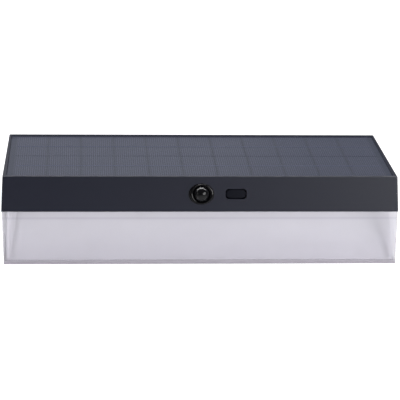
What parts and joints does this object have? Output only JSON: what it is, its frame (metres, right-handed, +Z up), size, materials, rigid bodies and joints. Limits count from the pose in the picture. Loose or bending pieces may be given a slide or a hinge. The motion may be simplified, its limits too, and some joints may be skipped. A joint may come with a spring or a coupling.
{
  "type": "solar fence light",
  "caption": "Wall-hung solar light with a sloped solar panel on a dark hood, a motion sensor and mode button in its front band, and a clear wedge lens below.",
  "frame": {"origin": "on the wall plane, midway between the centres of the two keyhole entries in the back plate", "axes": "+X along the light, to the right seen from the front; +Y into the wall, so the front faces -Y; +Z up"},
  "size_m": [0.3, 0.1059, 0.093],
  "materials": {
    "housing_plastic": "fine satin",
    "lens_plastic": "clear, smooth",
    "reflector_plastic": "white, glossy",
    "seal_rubber": "matte",
    "foam_tape": "matte",
    "panel_board": "white board",
    "silicon": "blue-grey silicon",
    "tinned_ribbon": "tinned",
    "panel_glass": "clear",
    "bezel_plastic": "black gloss",
    "dome_plastic": "smoked gloss",
    "sensor_can": "satin",
    "button_rubber": "matte",
    "switch_plastic": "matte",
    "plunger_plastic": "matte",
    "led_phosphor": "phosphor gel",
    "circuit_board": "solder mask",
    "white_board": "white solder mask",
    "chip_epoxy": "matte",
    "ferrite": "matte",
    "capacitor_can": "satin",
    "socket_nylon": "off-white nylon",
    "cell_sleeve": "shrink sleeve",
    "nickel": "satin",
    "strap_plastic": "matte",
    "screw_steel": "zinc-plated",
    "lead_sheath": "two cores in one black sheath"
  },
  "bodies": {
    "housing": {"battery_cells": "cell_sleeve", "battery_guard": "circuit_board", "battery_leads": "lead_sheath", "battery_strap": "strap_plastic", "battery_tabs": "nickel", "bezel_nut": "switch_plastic", "board_capacitors": "capacitor_can", "board_screws": "screw_steel", "board_sockets": "socket_nylon", "case_screws": "screw_steel", "cell_ribbons": "tinned_ribbon", "control_board": "circuit_board", "control_chips": "chip_epoxy", "dome_retainer": "bezel_plastic", "lamp_screws": "screw_steel", "led_board": "white_board", "led_leads": "lead_sheath", "led_plug": "socket_nylon", "leds": "led_phosphor", "lens": "lens_plastic", "lens_gasket": "seal_rubber", "main_housing": "housing_plastic", "panel_board": "panel_board", "panel_cover": "panel_glass", "panel_leads": "lead_sheath", "panel_tape": "foam_tape", "pir_sensor": "sensor_can", "power_inductor": "ferrite", "rear_gasket": "seal_rubber", "rear_housing": "housing_plastic", "reflector": "reflector_plastic", "sensor_bezel": "bezel_plastic", "sensor_board": "circuit_board", "sensor_board_screws": "screw_steel", "sensor_dome": "dome_plastic", "sensor_leads": "lead_sheath", "sensor_plug": "socket_nylon", "solar_cells": "silicon", "strap_screws": "screw_steel", "switch_body": "switch_plastic"},
    "button": {"mode_button": "button_rubber"},
    "plunger": {"switch_plunger": "plunger_plastic"}
  },
  "joints": [
    {"name": "button_press", "type": "slide", "parent": "housing", "child": "button", "axis": [0, 1, 0], "range_m": [0, 0.0006], "stiffness_N_per_m": 1500},
    {"name": "plunger_press", "type": "slide", "parent": "housing", "child": "plunger", "axis": [0, 1, 0], "range_m": [0, 0.0006]}
  ],
  "couplings": [
    {"joint": "plunger_press", "follows": "button_press", "ratio": 1}
  ]
}
